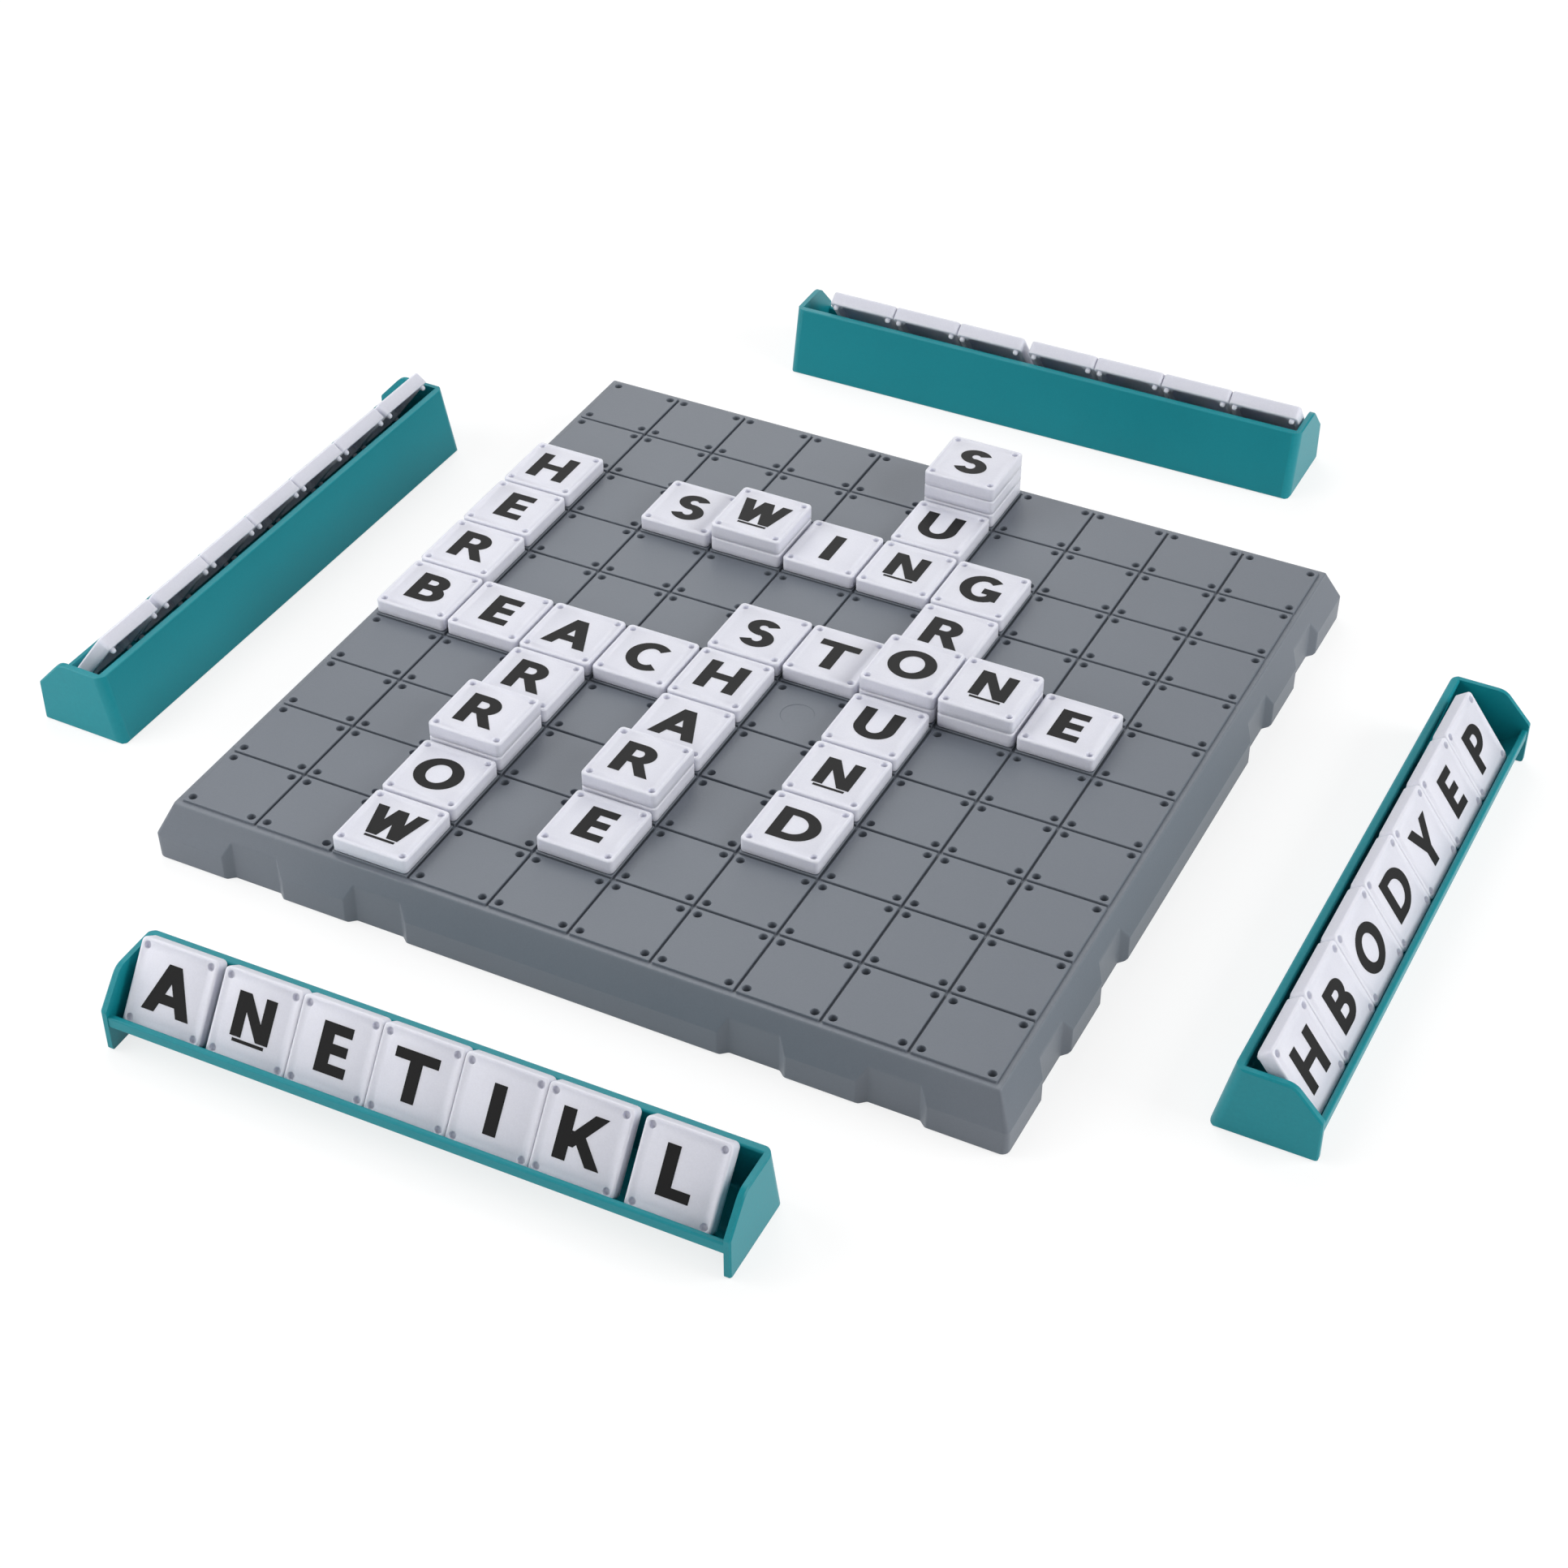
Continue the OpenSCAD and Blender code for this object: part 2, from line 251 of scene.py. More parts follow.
class Wire:
    """A socket in a node tree: sums on it add Math nodes, and node() adds any other node."""

    def __init__(self, tree, socket=None):
        self.tree = tree
        self.socket = socket

    def node(self, kind, settings=None, inputs=None, out=0):
        """Adds a node, with its settings first and then the values or links of its sockets."""
        made = self.tree.nodes.new(kind)
        for key, value in (settings or {}).items():
            setattr(made, key, value)
        for key, value in (inputs or {}).items():
            if isinstance(value, Wire):
                self.tree.links.new(value.socket, made.inputs[key])
            else:
                made.inputs[key].default_value = value
        return Wire(self.tree, made.outputs[out]) if len(made.outputs) else None

    def sum(self, operation, first, second):
        return self.node("ShaderNodeMath", {"operation": operation}, {0: first, 1: second})

    def __add__(self, other):
        return self.sum("ADD", self, other)

    def __radd__(self, other):
        return self.sum("ADD", other, self)

    def __sub__(self, other):
        return self.sum("SUBTRACT", self, other)

    def __rsub__(self, other):
        return self.sum("SUBTRACT", other, self)

    def __mul__(self, other):
        return self.sum("MULTIPLY", self, other)

    def __rmul__(self, other):
        return self.sum("MULTIPLY", other, self)

    def __lt__(self, other):
        return self.sum("LESS_THAN", self, other)


def grain(wire, scale, detail):
    """Noise on the piece's own coordinates, in features per metre."""
    place = wire.node("ShaderNodeTexCoord", out="Object")
    return wire.node(
        "ShaderNodeTexNoise", None,
        {"Vector": place, "Scale": scale, "Detail": detail, "Roughness": 0.6}, "Fac",
    )


def tinted(wire, mask, first, second):
    """A colour that goes from the first to the second as the mask goes from 0 to 1."""
    return wire.node(
        "ShaderNodeMix", {"data_type": "RGBA", "clamp_factor": True},
        {0: mask, 6: (*first, 1), 7: (*second, 1)}, 2,
    )


def plastic(name, dull, clean, lit_edges, roughness, bump, fine, shine=0.5, milky=0):
    """Moulded plastic: cloudy colour, edges painted paler as a highlight, and a fine spark-eroded
    grain.
    """
    made = bpy.data.materials.new(name)
    made.use_nodes = True
    made.node_tree.nodes.clear()
    wire = Wire(made.node_tree)
    cloud = grain(wire, scale=26, detail=4)
    speck = grain(wire, scale=900, detail=2)
    pores = grain(wire, scale=fine, detail=3)
    # This mask marks the rounded edges that get a painted highlight, standing in for light caught on
    # their rounding.
    highlight_mask = wire.node("ShaderNodeAttribute", {"attribute_name": "painted_highlight"}, None, "Fac")
    patchy = cloud * 0.9 + 0.05 + (speck - 0.5) * 0.3 + (pores - 0.5) * 0.9
    base = tinted(wire, patchy, dull, clean)
    # Painted highlight: the cloudy base colour is mixed towards the paler edge colour where the mask
    # is set.
    colour = wire.node(
        "ShaderNodeMix", {"data_type": "RGBA", "clamp_factor": True},
        {0: highlight_mask * (0.25 + speck * 0.7), 6: base, 7: (*lit_edges, 1)}, 2,
    )
    gloss = roughness - 0.05 + cloud * 0.06 + speck * 0.06 - highlight_mask * 0.08
    relief = wire.node(
        "ShaderNodeBump", None,
        {"Strength": bump, "Distance": 0.0001, "Height": pores + speck * 0.5}, "Normal",
    )
    surface = wire.node(
        "ShaderNodeBsdfPrincipled", None,
        {"Base Color": colour, "Roughness": gloss, "Normal": relief, "IOR": 1.49,
         "Specular IOR Level": shine, "Subsurface Weight": milky, "Subsurface Scale": 0.001,
         "Subsurface Radius": (1.2, 1.2, 1.2)}, "BSDF",
    )
    wire.node("ShaderNodeOutputMaterial", None, {"Surface": surface})
    return made


# The third colour of each plastic is the paler colour of the painted highlight on its rounded edges.
board_grey = plastic(
    "board_grey", (0.134, 0.152, 0.181), (0.160, 0.179, 0.210), (0.26, 0.285, 0.32),
    roughness=0.44, bump=0.25, fine=2600,
)
board_rim.data.materials.append(board_grey)
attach(board_rim, "board")
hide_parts("board")

# Board cells
# A hundred square pads stand up from the deck in the same moulding, each with four blind holes for
# a tile's pegs. The four in the middle carry a shallow round mark. Geometry nodes lay them out.
cell_half = 10.62
cell_top = 16.5
cell_edge_r = 0.2
groove_floor = 15.65
hole_at = 8.7
hole_depth = 2.6
hole_levels = [(1.24, 0), (1.17, 0.03), (1.12, 0.12), (1.08, 0.6), (1, hole_depth)]
mark_levels = [(4.52, 0), (4.45, 0.03), (4.38, 0.15)]
pad_corner_r = 0.3
# Strength of the painted highlight on the pads' rounded top edges and hole mouths.
pad_highlight = 0.3
groove_corner_r = 0.02
flat_area = 6


def square_ring(mesh, half, r, z, steps=3):
    """A closed ring of vertices round a square with rounded corners."""
    corners = [(-half, -half), (half, -half), (half, half), (-half, half)]
    return [mesh.verts.new((p.x, p.y, z)) for p in rounded(corners, [r] * 4, steps)]


def round_ring(mesh, x, y, r, z, steps):
    """A closed ring of vertices round a circle."""
    return [
        mesh.verts.new((x + r * math.cos(a), y + r * math.sin(a), z))
        for a in (2 * math.pi * k / steps for k in range(steps))
    ]


def sunk(mesh, x, y, steps, top, levels, highlight_layer=None):
    """A round wall through the given radii and depths, with its end. Returns its first ring."""
    rings = [round_ring(mesh, x, y, r, top - depth, steps) for r, depth in levels]
    for above, below in zip(rings, rings[1:]):
        join_rings(mesh, below, above)
    mesh.faces.new(rings[-1])
    # Where a layer is given, the ring just inside the mouth gets a painted highlight.
    if highlight_layer:
        for v in rings[1]:
            v[highlight_layer] = pad_highlight
    return rings[0]


def edges_of(mesh, ring):
    """The edges round a ring, made where there are none yet."""
    pairs = zip(ring, ring[1:] + ring[:1])
    return [mesh.edges.get(pair) or mesh.edges.new(pair) for pair in pairs]


def fill_face(mesh, rings, normal):
    """Fills the flat area between an outer ring and the rings inside it."""
    edges = [e for ring in rings for e in edges_of(mesh, ring)]
    bmesh.ops.triangle_fill(mesh, use_beauty=True, edges=edges, normal=normal)


def cell_pad(name, marked):
    """One pad with its half of the grooves around it."""
    pad = bmesh.new()
    lit_edges = pad.verts.layers.float.new("painted_highlight")
    rings = [square_ring(pad, pitch / 2, groove_corner_r, groove_floor)]
    rings.append(square_ring(pad, cell_half, pad_corner_r, groove_floor))
    for k in range(5):
        a = k * math.pi / 8
        inset = cell_edge_r * (1 - math.cos(a))
        height = cell_top - cell_edge_r * (1 - math.sin(a))
        rings.append(square_ring(pad, cell_half - inset, pad_corner_r - inset, height))
    # The pad's rounded top edge gets a painted highlight.
    for v in rings[-3] + rings[-2]:
        v[lit_edges] = pad_highlight
    for below, above in zip(rings, rings[1:]):
        join_rings(pad, below, above)
    rims = [rings[-1]]
    for x in (-hole_at, hole_at):
        for y in (-hole_at, hole_at):
            rims.append(sunk(pad, x, y, 12, cell_top, hole_levels, lit_edges))
    if marked:
        rims.append(sunk(pad, 0, 0, 40, cell_top, mark_levels))
    fill_face(pad, rims, (0, 0, 1))
    bmesh.ops.recalc_face_normals(pad, faces=pad.faces)
    if max(pad.faces, key=lambda f: f.calc_area()).normal.z < 0:
        bmesh.ops.reverse_faces(pad, faces=pad.faces)
    return finish_mesh(pad, name, Matrix.Identity(4), flat_area)


plain_pad = cell_pad("plain_pad", False)
marked_pad = cell_pad("marked_pad", True)
layout = bpy.data.node_groups.new("cell_layout", "GeometryNodeTree")
layout.interface.new_socket("Geometry", in_out="OUTPUT", socket_type="NodeSocketGeometry")
for socket_name, socket_type in (
    ("Cells", "NodeSocketInt"), ("Pitch", "NodeSocketFloat"), ("Plain pad", "NodeSocketObject"),
    ("Marked pad", "NodeSocketObject"), ("Finish", "NodeSocketMaterial"),
):
    layout.interface.new_socket(socket_name, in_out="INPUT", socket_type=socket_type)
grid = Wire(layout)
given = layout.nodes.new("NodeGroupInput")
count, step, plain, marked, coat = (Wire(layout, given.outputs[i]) for i in range(5))
across = (count - 1) * step
points = grid.node(
    "GeometryNodeMeshGrid", None,
    {"Size X": across, "Size Y": across, "Vertices X": count, "Vertices Y": count}, "Mesh",
)
here = grid.node("GeometryNodeInputPosition")
from_middle = grid.node("ShaderNodeVectorMath", {"operation": "LENGTH"}, {0: here}, "Value")
inner = from_middle < step
pads = []
for pad, chosen in ((plain, 1 - inner), (marked, inner)):
    shape = grid.node("GeometryNodeObjectInfo", None, {"Object": pad}, "Geometry")
    pads.append(grid.node(
        "GeometryNodeInstanceOnPoints", None,
        {"Points": points, "Selection": chosen, "Instance": shape},
    ))
both = layout.nodes.new("GeometryNodeJoinGeometry")
for wire in pads:
    layout.links.new(wire.socket, both.inputs[0])
real = grid.node("GeometryNodeRealizeInstances", None, {0: Wire(layout, both.outputs[0])})
coated = grid.node("GeometryNodeSetMaterial", None, {"Geometry": real, "Material": coat})
grid.node("NodeGroupOutput", None, {0: coated})


def grown(name, tree, values):
    """The mesh that a node tree makes, as a plain object."""
    piece = bpy.data.objects.new(name, bpy.data.meshes.new(name))
    bpy.context.scene.collection.objects.link(piece)
    maker = piece.modifiers.new("maker", "NODES")
    maker.node_group = tree
    for item in tree.interface.items_tree:
        if item.in_out == "INPUT":
            maker[item.identifier] = values[item.name]
    depsgraph = bpy.context.evaluated_depsgraph_get()
    made = bpy.data.meshes.new_from_object(piece.evaluated_get(depsgraph), depsgraph=depsgraph)
    piece.modifiers.remove(maker)
    piece.data = made
    made.name = name
    return piece


board_cells = grown("board_cells", layout, {
    "Cells": cells, "Pitch": pitch * mm, "Plain pad": plain_pad, "Marked pad": marked_pad,
    "Finish": board_grey,
})
board_cells.data.transform(on_board)
for template in (plain_pad, marked_pad):
    bpy.data.objects.remove(template)
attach(board_cells, "board")

# Racks
# Four teal one-piece mouldings, glossier than the board: a back plate, a sloped tray with a lip,
# and two end panels as feet. Each is a copy of the solid with a lower lip, a back plate that leans
# less, and edges broken like a mould's.
# The third colour is the paler teal of the painted highlight on the rack's rounded edges.
rack_teal = plastic(
    "rack_teal", (0.0005, 0.206, 0.247), (0.001, 0.244, 0.290), (0.03, 0.36, 0.41),
    roughness=0.40, bump=0.16, fine=2200, shine=0.3,
)
sides = ("front", "right", "back", "left")
moves_along = {joint["child"]: Vector(joint["axis"]) for joint in frame["joints"]}
rack_h = 20
rack_edge_r = 0.2
# Strength of the painted highlight on the racks' bevelled edges.
rack_highlight = 0.25
sharp_angle = 28
smooth_angle = 0.4
lip_from = 24.2
lip_over = 10.9
lip_cut = 1.3
long_edge = 100
plate_to = 9
plate_back = 1.6


def matched(copy, out):
    """Lowers the lip between the end panels, and moves the back plate's top away from the tiles."""
    foot = min(v.co.dot(out) for v in copy.verts)
    lip = [
        v for v in copy.verts
        if v.co.dot(out) - foot > lip_from and v.co.z > lip_over
        and any(e.calc_length() > long_edge for e in v.link_edges)
    ]
    plate = [v for v in copy.verts if v.co.dot(out) - foot < plate_to]
    for v in lip:
        v.co.z -= lip_cut
    for v in plate:
        v.co -= out * (plate_back * v.co.z / rack_h)


def softened(node, name, out):
    """A copy of a rack with its sharp edges rounded by a fraction of a millimetre."""
    copy = bmesh.new()
    copy.from_mesh(frame["nodes"][node].data)
    bmesh.ops.scale(copy, vec=(1 / mm,) * 3, verts=copy.verts)
    bmesh.ops.remove_doubles(copy, verts=copy.verts, dist=0.01)
    bmesh.ops.dissolve_limit(
        copy, angle_limit=math.radians(smooth_angle), verts=copy.verts, edges=copy.edges
    )
    matched(copy, out)
    lit_edges = copy.verts.layers.float.new("painted_highlight")
    sharp = [
        e for e in copy.edges
        if len(e.link_faces) == 2 and e.calc_face_angle() > math.radians(sharp_angle)
    ]
    made = bmesh.ops.bevel(
        copy, geom=sharp, offset=rack_edge_r, segments=2, profile=0.5, affect="EDGES",
        clamp_overlap=True,
    )
    # The new bevel faces get a painted highlight, paler where light would catch the rounding.
    for v in made["verts"]:
        v[lit_edges] = rack_highlight
    for face in copy.faces:
        face.smooth = True
    data = bpy.data.meshes.new(name)
    copy.to_mesh(data)
    copy.free()
    data.transform(Matrix.Scale(mm, 4))
    piece = bpy.data.objects.new(name, data)
    bpy.context.scene.collection.objects.link(piece)
    piece.modifiers.new("weigh", "WEIGHTED_NORMAL")
    depsgraph = bpy.context.evaluated_depsgraph_get()
    weighed = piece.evaluated_get(depsgraph)
    piece.data = bpy.data.meshes.new_from_object(weighed, depsgraph=depsgraph)
    piece.modifiers.clear()
    return piece


for side in sides:
    rack = softened(side + "_rack", side + "_rack_shell", moves_along[side + "_rack"])
    rack.data.materials.append(rack_teal)
    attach(rack, side + "_rack")
    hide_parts(side + "_rack")

# Tiles
# White square caps, moulded hollow with a post in each corner. A post ends in a peg below and in a
# socket above, so a tile stands on the board or on another tile.
tile_half = 10.53
row_step = 20.8
row_gap = 0.3
tile_h = 4
tile_corner_r = 1.3
edge_r = 0.5
foot_chamfer = 0.15
side_ring = 1.6
shoulder = 0.25
# Strength of the painted highlight on the tiles' rounded top edges.
tile_highlight = 0.15
tile_sharp_angle = 55
roof_t = 1.6
hollow_half = 9.1
post_r = 1.9
socket_levels = [(1.05, 0), (0.98, 0.06), (0.91, 0.22), (0.86, 1), (0.7, 1.2)]
peg_levels = [(0.8, 0), (0.8, 0.55), (0.74, 0.85), (0.58, 1.1), (0.3, 1.26), (0.08, 1.3)]


def hollow_outline():
    """The square hollow below a tile, drawn in round the four posts."""
    spread = math.acos((hollow_half - hole_at) / post_r)
    outline = []
    for corner in range(4):
        turn = corner * math.pi / 2
        for k in range(9):
            a = k / 8 * (2 * spread - 3 * math.pi / 2) - spread
            x = hole_at + post_r * math.cos(a)
            y = hole_at + post_r * math.sin(a)
            outline.append((
                x * math.cos(turn) - y * math.sin(turn), x * math.sin(turn) + y * math.cos(turn)
            ))
    return outline


def tile_shape():
    """One tile, its underside at height 0 and its letter's top towards +Y."""
    tile = bmesh.new()
    lit_edges = tile.verts.layers.float.new("painted_highlight")
    levels = [(foot_chamfer, 0), (0, foot_chamfer), (0, side_ring), (0, tile_h - edge_r - shoulder)]
    levels += [
        (edge_r * (1 - math.cos(a)), tile_h - edge_r * (1 - math.sin(a)))
        for a in (k * math.pi / 12 for k in range(7))
    ]
    rings = [square_ring(tile, tile_half - i, tile_corner_r - i, z, 6) for i, z in levels]
    for below, above in zip(rings, rings[1:]):
        join_rings(tile, below, above)
    # The middle of the top edge's rounding gets a painted highlight.
    for v in rings[7] + rings[8]:
        v[lit_edges] = tile_highlight
    hollow = [
        [tile.verts.new((x, y, z)) for x, y in hollow_outline()] for z in (0, tile_h - roof_t)
    ]
    join_rings(tile, hollow[0], hollow[1])
    tile.faces.new(hollow[1])
    top = [rings[-1]]
    under = [rings[0], hollow[0]]
    for x in (-hole_at, hole_at):
        for y in (-hole_at, hole_at):
            top.append(sunk(tile, x, y, 16, tile_h, socket_levels))
            under.append(sunk(tile, x, y, 12, 0, peg_levels))
    fill_face(tile, top, (0, 0, 1))
    fill_face(tile, under, (0, 0, -1))
    bmesh.ops.recalc_face_normals(tile, faces=tile.faces)
    return tile


# The third colour is the paler white of the painted highlight on the tiles' rounded edges.
tile_white = plastic(
    "tile_white", (0.68, 0.685, 0.755), (0.775, 0.78, 0.855), (0.82, 0.82, 0.88),
    roughness=0.4, bump=0.1, fine=2400, milky=0.6,
)
tile_master = finish_mesh(tile_shape(), "tile_master", Matrix.Identity(4), flat_area)
tile_master.data.set_sharp_from_angle(angle=math.radians(tile_sharp_angle))


def facing(body):
    """How the tiles of a body are turned, from the way they lift and the way their rack slides."""
    if body.startswith("tile_"):
        return Matrix.Identity(4)
    up = moves_along[body]
    right = Vector((0, 0, 1)).cross(moves_along[body.split("_")[0] + "_rack"])
    return Matrix((right, up, right.cross(up))).transposed().to_4x4()


def row_places(body):
    """Where the tiles of a body stand along its row."""
    gaps = {
        "back_tiles": (row_gap, row_gap, row_gap, 2.52, row_gap, row_gap),
        "left_tiles": (1.26, row_gap, row_gap, row_gap, row_gap, 1.89),
    }.get(body, ())
    places = [0]
    for gap in gaps:
        places.append(places[-1] + row_step + gap)
    return places


def add_shape(mesh, shape, off):
    """Adds a copy of a finished shape to a mesh, moved by an offset in millimetres."""
    mesh.from_mesh(shape)
    mesh.verts.ensure_lookup_table()
    fresh = mesh.verts[-len(shape.vertices):]
    bmesh.ops.translate(mesh, vec=Vector(off) * mm, verts=fresh)


def copies(shape, body):
    """A mesh of the shape, repeated along the body's row and turned as its tiles are."""
    joined = bmesh.new()
    for x in row_places(body):
        add_shape(joined, shape, (x, 0, 0))
    data = bpy.data.meshes.new(body)
    joined.to_mesh(data)
    joined.free()
    data.transform(facing(body))
    return data


def centre_of(data):
    """The middle of a mesh's box."""
    spots = np.array([v.co for v in data.vertices])
    return Vector((spots.min(0) + spots.max(0)) / 2)


tile_bodies = [body for body in frame["bodies"] if "tile" in body]
seats = {}
for body in tile_bodies:
    data = copies(tile_master.data, body)
    low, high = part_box(body)
    seats[body] = Matrix.Translation((low + high) / 2 - centre_of(data))
    data.transform(seats[body])
    data.materials.append(tile_white)
    cap = bpy.data.objects.new(body + "_cap", data)
    bpy.context.scene.collection.objects.link(cap)
    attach(cap, body)
    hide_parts(body)
bpy.data.objects.remove(tile_master)

# Letters
# Each tile has one plain capital printed in black on its top, slightly off centre as a pad printer
# leaves it. A letter that reads as another when turned has a bar below it. Every letter is drawn
# from straight stems, thinner bars, slanting strokes and bows, which are then made one flat shape.
cap_height = 11.75
barred_size = 0.9
stem_w = 3.3
bar_w = 2.45
slant_w = 3.5
ink_depth = 0.012
turn_bar = [(-4.25, -1.2), (4.25, -1.2), (4.25, -0.4), (-4.25, -0.4)]
shake_across = 0.35
shake_along = 0.45


def stem(x, low=0, high=cap_height):
    """An upright stroke, from its left edge."""
    return [(x, low), (x + stem_w, low), (x + stem_w, high), (x, high)]


def bar(low, left, right):
    """A level stroke, from its lower edge."""
    return [(left, low), (right, low), (right, low + bar_w), (left, low + bar_w)]


def slant(foot, head, low=0, high=cap_height):
    """A slanting stroke, level at both ends."""
    half = slant_w / 2
    return [(foot - half, low), (foot + half, low), (head + half, high), (head - half, high)]


def bow(x, y, wide, tall, first, last):
    """Part of a ring round a point, as thick as a stem at the sides and a bar above and below."""
    turns = [math.radians(first + (last - first) * k / 24) for k in range(25)]
    outer = [(x + wide * math.cos(a), y + tall * math.sin(a)) for a in turns]
    inner = [(x + (wide - stem_w) * math.cos(a), y + (tall - bar_w) * math.sin(a)) for a in turns]
    return outer + inner[::-1]


top_bar = cap_height - bar_w
middle_bar = 4.7
half_height = cap_height / 2
ring_tall = half_height + 0.2
strokes = {
    "A": [slant(1.75, 6.5), slant(11.25, 6.5), bar(2.3, 3.4, 9.6)],
    "B": [stem(0), bar(0, 2, 5.6), bar(4.9, 2, 5.4), bar(top_bar, 2, 5.2),
          bow(5.4, 3.68, 4.7, 3.68, -92, 92), bow(5, 8.33, 4.3, 3.42, -92, 92)],
    "C": [bow(6.2, half_height, 6.2, ring_tall, 48, 312)],
    "D": [stem(0), bar(0, 2, 5.2), bar(top_bar, 2, 5.2),
          bow(5, half_height, 7, half_height, -92, 92)],
    "E": [stem(0), bar(0, 2, 8), bar(middle_bar, 2, 7.4), bar(top_bar, 2, 7.8)],
    "G": [bow(6.2, half_height, 6.2, ring_tall, 48, 330), bar(4, 6.6, 11.4), stem(8.3, 1.4, 6.45)],
    "H": [stem(0), stem(8.2), bar(middle_bar, 2, 9)],
    "I": [stem(0)],
    "J": [stem(3.4, 3.6), bow(1.8, 3.9, 4.9, 4.1, -125, 2)],
    "K": [stem(0), slant(2.6, 9.6, 3.4, cap_height), slant(10, 4.6, 0, 7)],
    "L": [stem(0), bar(0, 2, 8)],
    "N": [stem(0), stem(8), slant(9.4, 1.9)],
    "O": [bow(6.5, half_height, 6.5, ring_tall, -5, 185),
          bow(6.5, half_height, 6.5, ring_tall, 175, 365)],
    "P": [stem(0), bar(4, 2, 5.2), bar(top_bar, 2, 5.2), bow(5, 7.88, 4.5, 3.87, -92, 92)],
    "R": [stem(0), bar(4.3, 2, 5.2), bar(top_bar, 2, 5.2), bow(5, 8.03, 4.4, 3.72, -92, 92),
          slant(9.4, 5.4, 0, 5.6)],
    "S": [bow(4.4, 8.45, 4.5, 3.5, 28, 272), bow(4.6, 3.65, 4.7, 3.85, -154, 92)],
    "T": [stem(4), bar(top_bar, 0, 11.3)],
    "U": [stem(0, 4.6), stem(7.9, 4.6), bow(5.6, 4.7, 5.6, 4.9, 178, 362)],
    "V": [slant(6.2, 1.75), slant(6.2, 10.65)],
    "W": [slant(4.7, 1.75), slant(4.7, 8), slant(11.3, 8), slant(11.3, 14.25)],
    "Y": [stem(4.45, 0, 5.6), slant(6.1, 1.9, 4.4, cap_height), slant(6.1, 10.3, 4.4, cap_height)],
}
board_words = [
    ("a", 5, 1, 0, "BEACH"), ("a", 8, 0, -1, "HERB"), ("c", 5, 0, -1, "ARROW"),
    ("e", 6, 0, -1, "SHARE"), ("e", 6, 1, 0, "STONE"), ("g", 8, 0, -1, "GROUND"),
    ("c", 8, 1, 0, "SWING"), ("f", 10, 0, -1, "SUN"),
]
rack_letters = {"front": "ANETIKL", "right": "HBODYEP", "back": "CIRLEGT", "left": "OPSAVEJ"}
under_letters = "TAELIOP"
on_top = {}
for column, row, right, up, word in board_words:
    for k, letter in enumerate(word):
        cell = chr(ord(column) + right * k) + str(row + up * k)
        on_top["tile_" + cell] = letter

press = bpy.data.node_groups.new("letter_press", "GeometryNodeTree")
press.interface.new_socket("Geometry", in_out="OUTPUT", socket_type="NodeSocketGeometry")
press.interface.new_socket("Strokes", in_out="INPUT", socket_type="NodeSocketObject")
press.interface.new_socket("Ink", in_out="INPUT", socket_type="NodeSocketMaterial")
pen = Wire(press)
given = press.nodes.new("NodeGroupInput")
drawn = pen.node(
    "GeometryNodeObjectInfo", None, {"Object": Wire(press, given.outputs[0])}, "Geometry"
)
one = pen.node(
    "GeometryNodeMeshBoolean", {"operation": "UNION", "solver": "EXACT"},
    {"Self Intersection": True, 1: drawn},
)
whole = pen.node("GeometryNodeRealizeInstances", None, {0: one})
inked = pen.node(
    "GeometryNodeSetMaterial", None, {"Geometry": whole, "Material": Wire(press, given.outputs[1])}
)
pen.node("NodeGroupOutput", None, {0: inked})


def flat_stroke(mesh, outline):
    """A stroke as a thin closed plate."""
    below = [mesh.verts.new((x, y, 0)) for x, y in outline]
    above = [mesh.verts.new((x, y, ink_depth)) for x, y in outline]
    join_rings(mesh, below, above)
    mesh.faces.new(below)
    mesh.faces.new(above)


letter_black = plastic(
    "letter_black", (0.004, 0.004, 0.0045), (0.008, 0.0075, 0.008), (0.03, 0.03, 0.03),
    roughness=0.5, bump=0.08, fine=1800, shine=0.2,
)
letter_shapes = {}
for letter, outlines in strokes.items():
    plates = bmesh.new()
    for outline in outlines:
        flat_stroke(plates, outline)
    if letter in "NW":
        bmesh.ops.scale(plates, vec=(barred_size, barred_size, 1), verts=plates.verts)
        middle = sum(v.co.x for v in plates.verts) / len(plates.verts)
        flat_stroke(plates, [(middle + x, y) for x, y in turn_bar])
    bmesh.ops.recalc_face_normals(plates, faces=plates.faces)
    drawing = finish_mesh(plates, "drawing", Matrix.Identity(4), 0)
    pressed = grown("letter_" + letter, press, {"Strokes": drawing, "Ink": letter_black})
    pressed.data.transform(Matrix.Translation(-centre_of(pressed.data)))
    letter_shapes[letter] = pressed.data
    for used in (drawing, pressed):
        bpy.data.objects.remove(used)


def letters_of(body, number):
    """The letters on a body's tiles."""
    side = body.split("_")[0]
    if body.endswith("_tiles"):
        return rack_letters[side]
    if side in sides:
        return rack_letters[side][int(body[-1]) - 1]
    cell = "_".join(body.split("_")[:2])
    above = [b for b in tile_bodies if b.startswith(cell + "_level_") and b > body]
    return under_letters[number % len(under_letters)] if above else on_top[cell]


shaky = random.Random(5)
for number, body in enumerate(tile_bodies):
    joined = bmesh.new()
    for letter, x in zip(letters_of(body, number), row_places(body)):
        across = x + shaky.uniform(-shake_across, shake_across)
        along = shaky.uniform(-shake_along, shake_along)
        add_shape(joined, letter_shapes[letter], (across, along, tile_h + ink_depth))
    data = bpy.data.meshes.new(body + "_letter")
    joined.to_mesh(data)
    joined.free()
    data.transform(seats[body] @ facing(body))
    data.materials.append(letter_black)
    letter_piece = bpy.data.objects.new(body + "_letter", data)
    bpy.context.scene.collection.objects.link(letter_piece)
    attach(letter_piece, body)

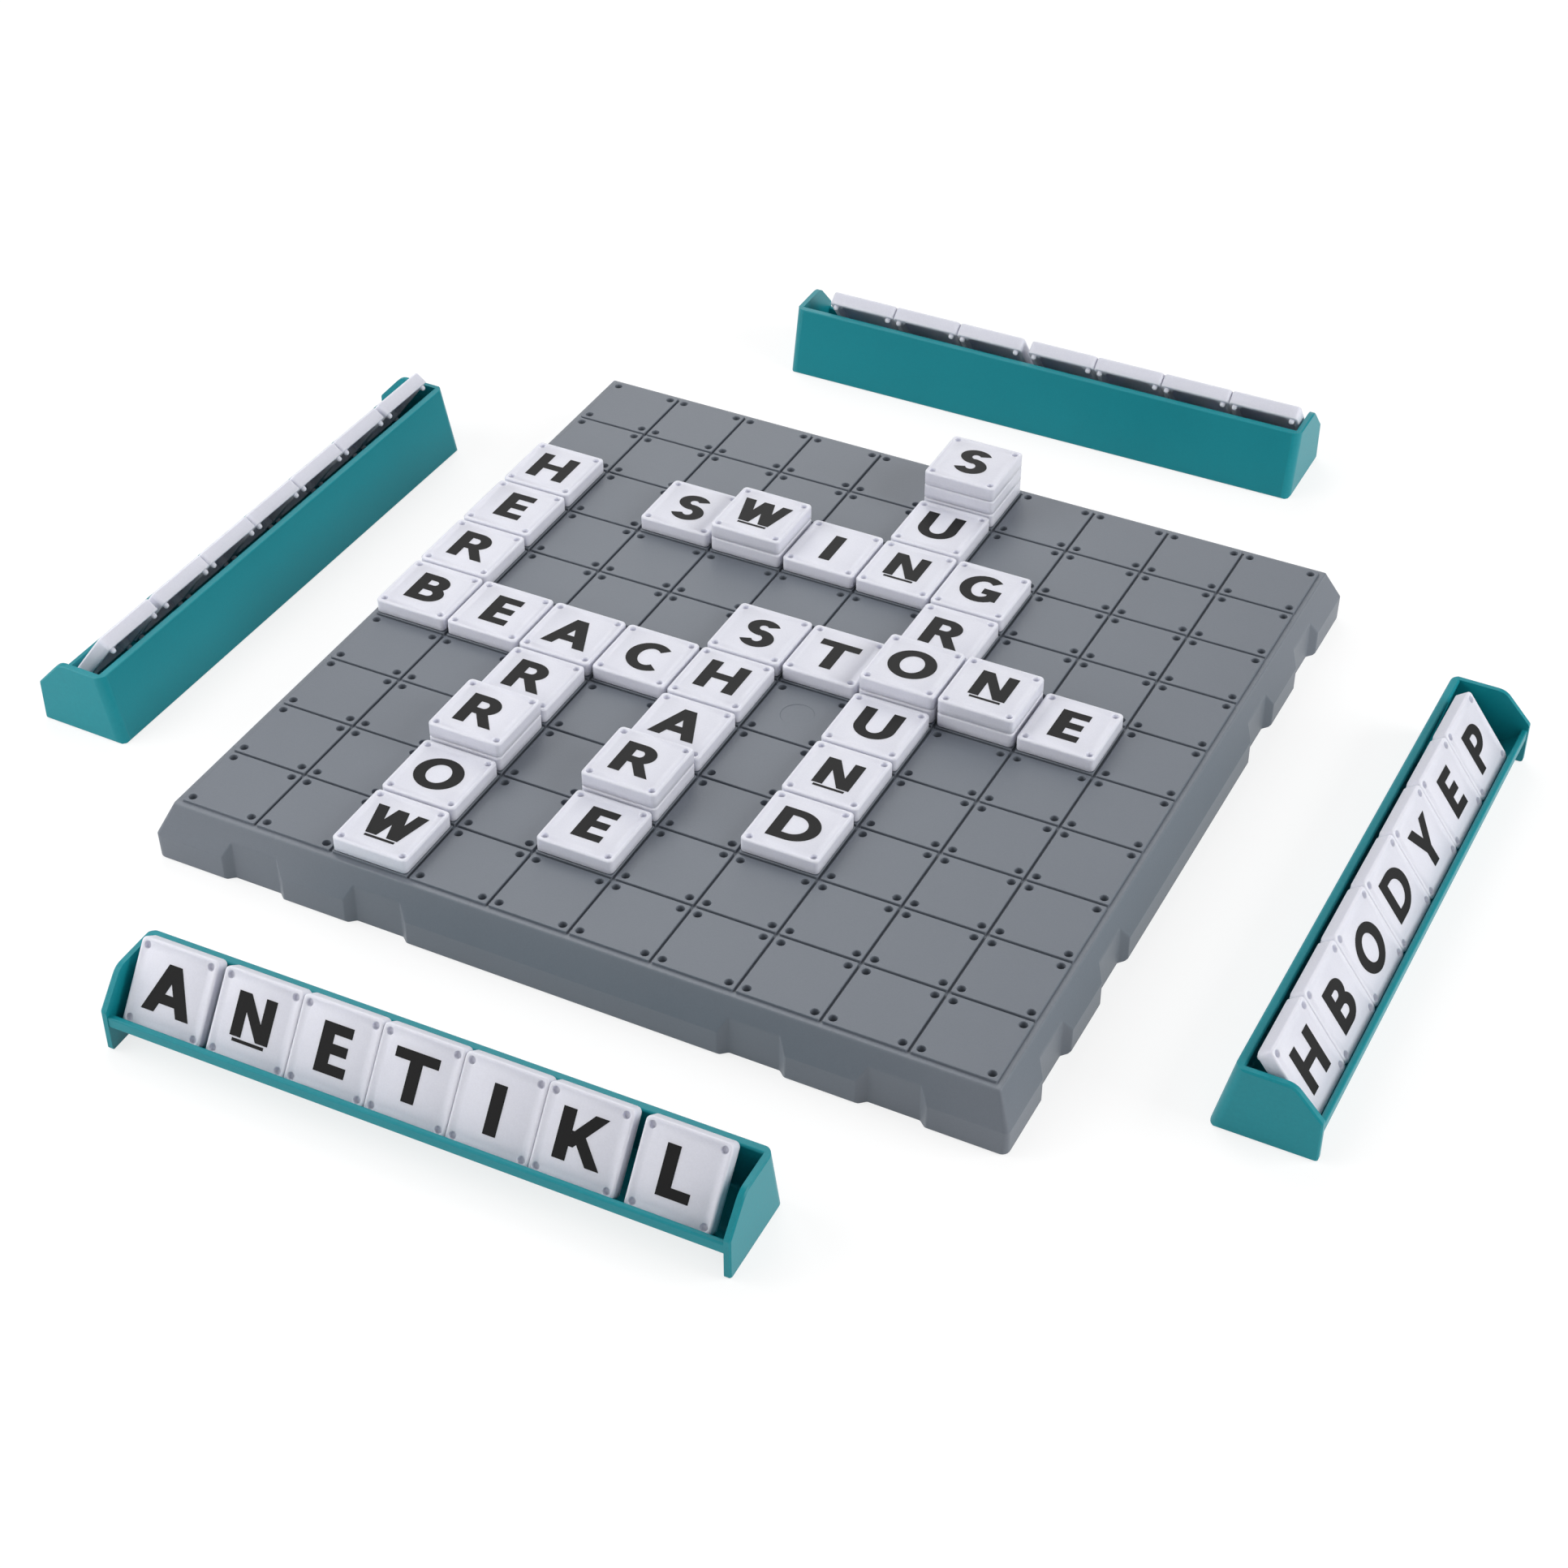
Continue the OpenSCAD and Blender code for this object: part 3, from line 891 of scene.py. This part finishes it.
# Table and light
# A plain white sheet under soft lamps all round, the strongest on the right and behind. The sheet
# stays white to the camera and in reflections, and still takes the shadows of the pieces on it.
table_half = 6000
table_drop = 0.1
glow_strength = 1.15
glow_share = 0.66
world_strength = 0.24
table = bmesh.new()
bmesh.ops.create_grid(table, x_segments=1, y_segments=1, size=table_half)
table_top = finish_mesh(table, "table_top", Matrix.Translation((0, 0, -table_drop * mm)))
table_white = bpy.data.materials.new("table_white")
table_white.use_nodes = True
table_white.node_tree.nodes.clear()
wire = Wire(table_white.node_tree)
path = table_white.node_tree.nodes.new("ShaderNodeLightPath")
by_camera, by_gloss, by_glass = (
    Wire(table_white.node_tree, path.outputs[name])
    for name in ("Is Camera Ray", "Is Glossy Ray", "Is Transmission Ray")
)
seen = by_camera + by_gloss + by_glass
paper = wire.node("ShaderNodeBsdfDiffuse", None, {"Color": (0.86, 0.86, 0.86, 1)}, "BSDF")
glow = wire.node(
    "ShaderNodeEmission", None, {"Color": (1, 1, 1, 1), "Strength": glow_strength}, "Emission"
)
lit = wire.node("ShaderNodeMixShader", None, {0: glow_share, 1: paper, 2: glow})
shown = wire.node("ShaderNodeMixShader", None, {0: seen, 1: paper, 2: lit})
wire.node("ShaderNodeOutputMaterial", None, {"Surface": shown})
table_top.data.materials.append(table_white)

world = bpy.data.worlds.new("studio")
bpy.context.scene.world = world
world.use_nodes = True
world.node_tree.nodes["Background"].inputs["Color"].default_value = (1, 1, 1, 1)
world.node_tree.nodes["Background"].inputs["Strength"].default_value = world_strength


def lamp(name, place, size, power):
    """A square soft light at a place in metres, aimed at the middle of the table."""
    light = bpy.data.lights.new(name, "AREA")
    light.size = size
    light.energy = power
    holder = bpy.data.objects.new(name, light)
    holder.location = place
    holder.rotation_euler = (-Vector(place)).to_track_quat("-Z", "Y").to_euler()
    bpy.context.scene.collection.objects.link(holder)


lamp("back_light", (-0.6, 0.7, 1.1), 0.8, 5.1)
lamp("far_light", (-0.4, 1.2, 0.5), 0.8, 3.1)
lamp("left_light", (-0.55, -0.3, 0.4), 0.5, 2.6)
lamp("low_light", (-0.35, -0.75, 0.25), 0.4, 1)
lamp("front_light", (0.6, -1.1, 0.8), 0.8, 1.8)
lamp("right_light", (1, 0.15, 0.52), 0.7, 8)

# Camera
# It looks down over the front right corner of the board, as the picture does. Its place is counted
# in cells from the middle of the board's top.
eye_in_cells = Vector((12.685, -25.032, 21.226))
view_line = Vector((-0.349153, 0.693004, -0.630744))
lens = bpy.data.cameras.new("camera")
lens.sensor_width = 36
lens.lens = 68.416
camera = bpy.data.objects.new("camera", lens)
deck_middle = Vector((board_middle.x, board_middle.y, cell_top * mm))
camera.location = deck_middle + eye_in_cells * pitch * mm
camera.rotation_euler = view_line.to_track_quat("-Z", "Y").to_euler()
bpy.context.scene.collection.objects.link(camera)
bpy.context.scene.camera = camera
bpy.context.scene.view_settings.view_transform = "Standard"
